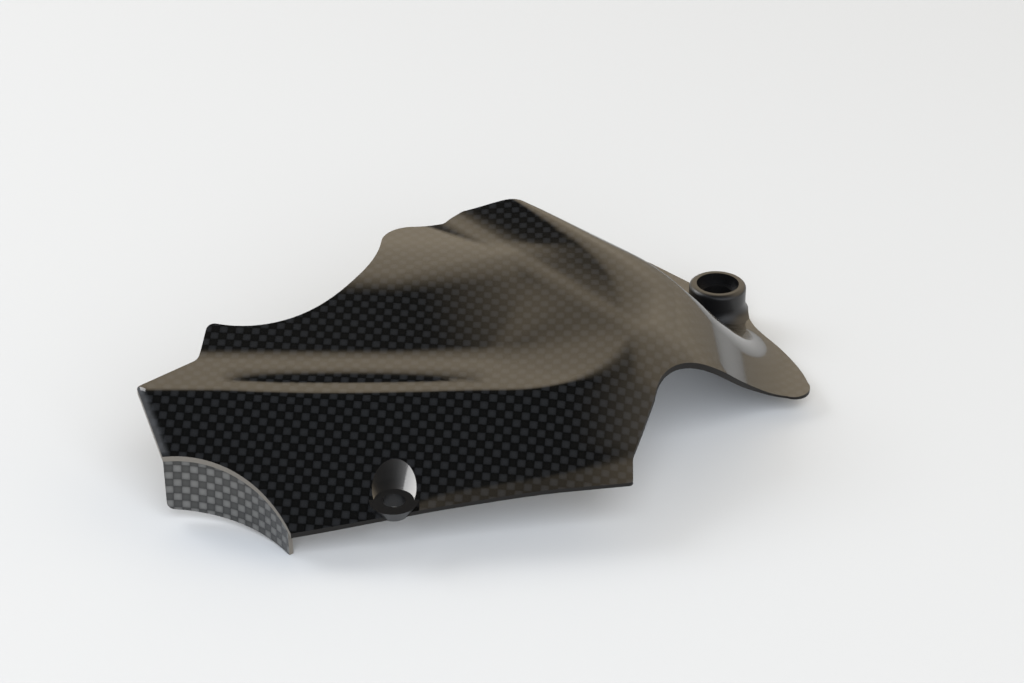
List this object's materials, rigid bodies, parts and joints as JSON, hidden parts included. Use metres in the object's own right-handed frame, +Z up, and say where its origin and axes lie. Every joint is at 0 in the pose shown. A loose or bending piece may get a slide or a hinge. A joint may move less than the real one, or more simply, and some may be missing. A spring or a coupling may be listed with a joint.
{
  "type": "sprocket cover",
  "caption": "Moulded carbon-fibre cover for a motorbike's front sprocket, a thin folded shell with a domed top, a bolt boss at the rear, a recessed screw seat and a curved lip at the front.",
  "frame": {"origin": "on the rear bolt's axis, on the plane that the boss is bolted down to", "axes": "+X along the fold of the front wall, to the right in the picture; +Y to the rear; +Z up, out of the cover"},
  "size_m": [0.1654, 0.137, 0.0431],
  "materials": {
    "carbon_laminate": "plain-weave carbon laminate under a glossy clear coat"
  },
  "bodies": {
    "root": {"sprocket_cover": "carbon_laminate"}
  },
  "joints": []
}
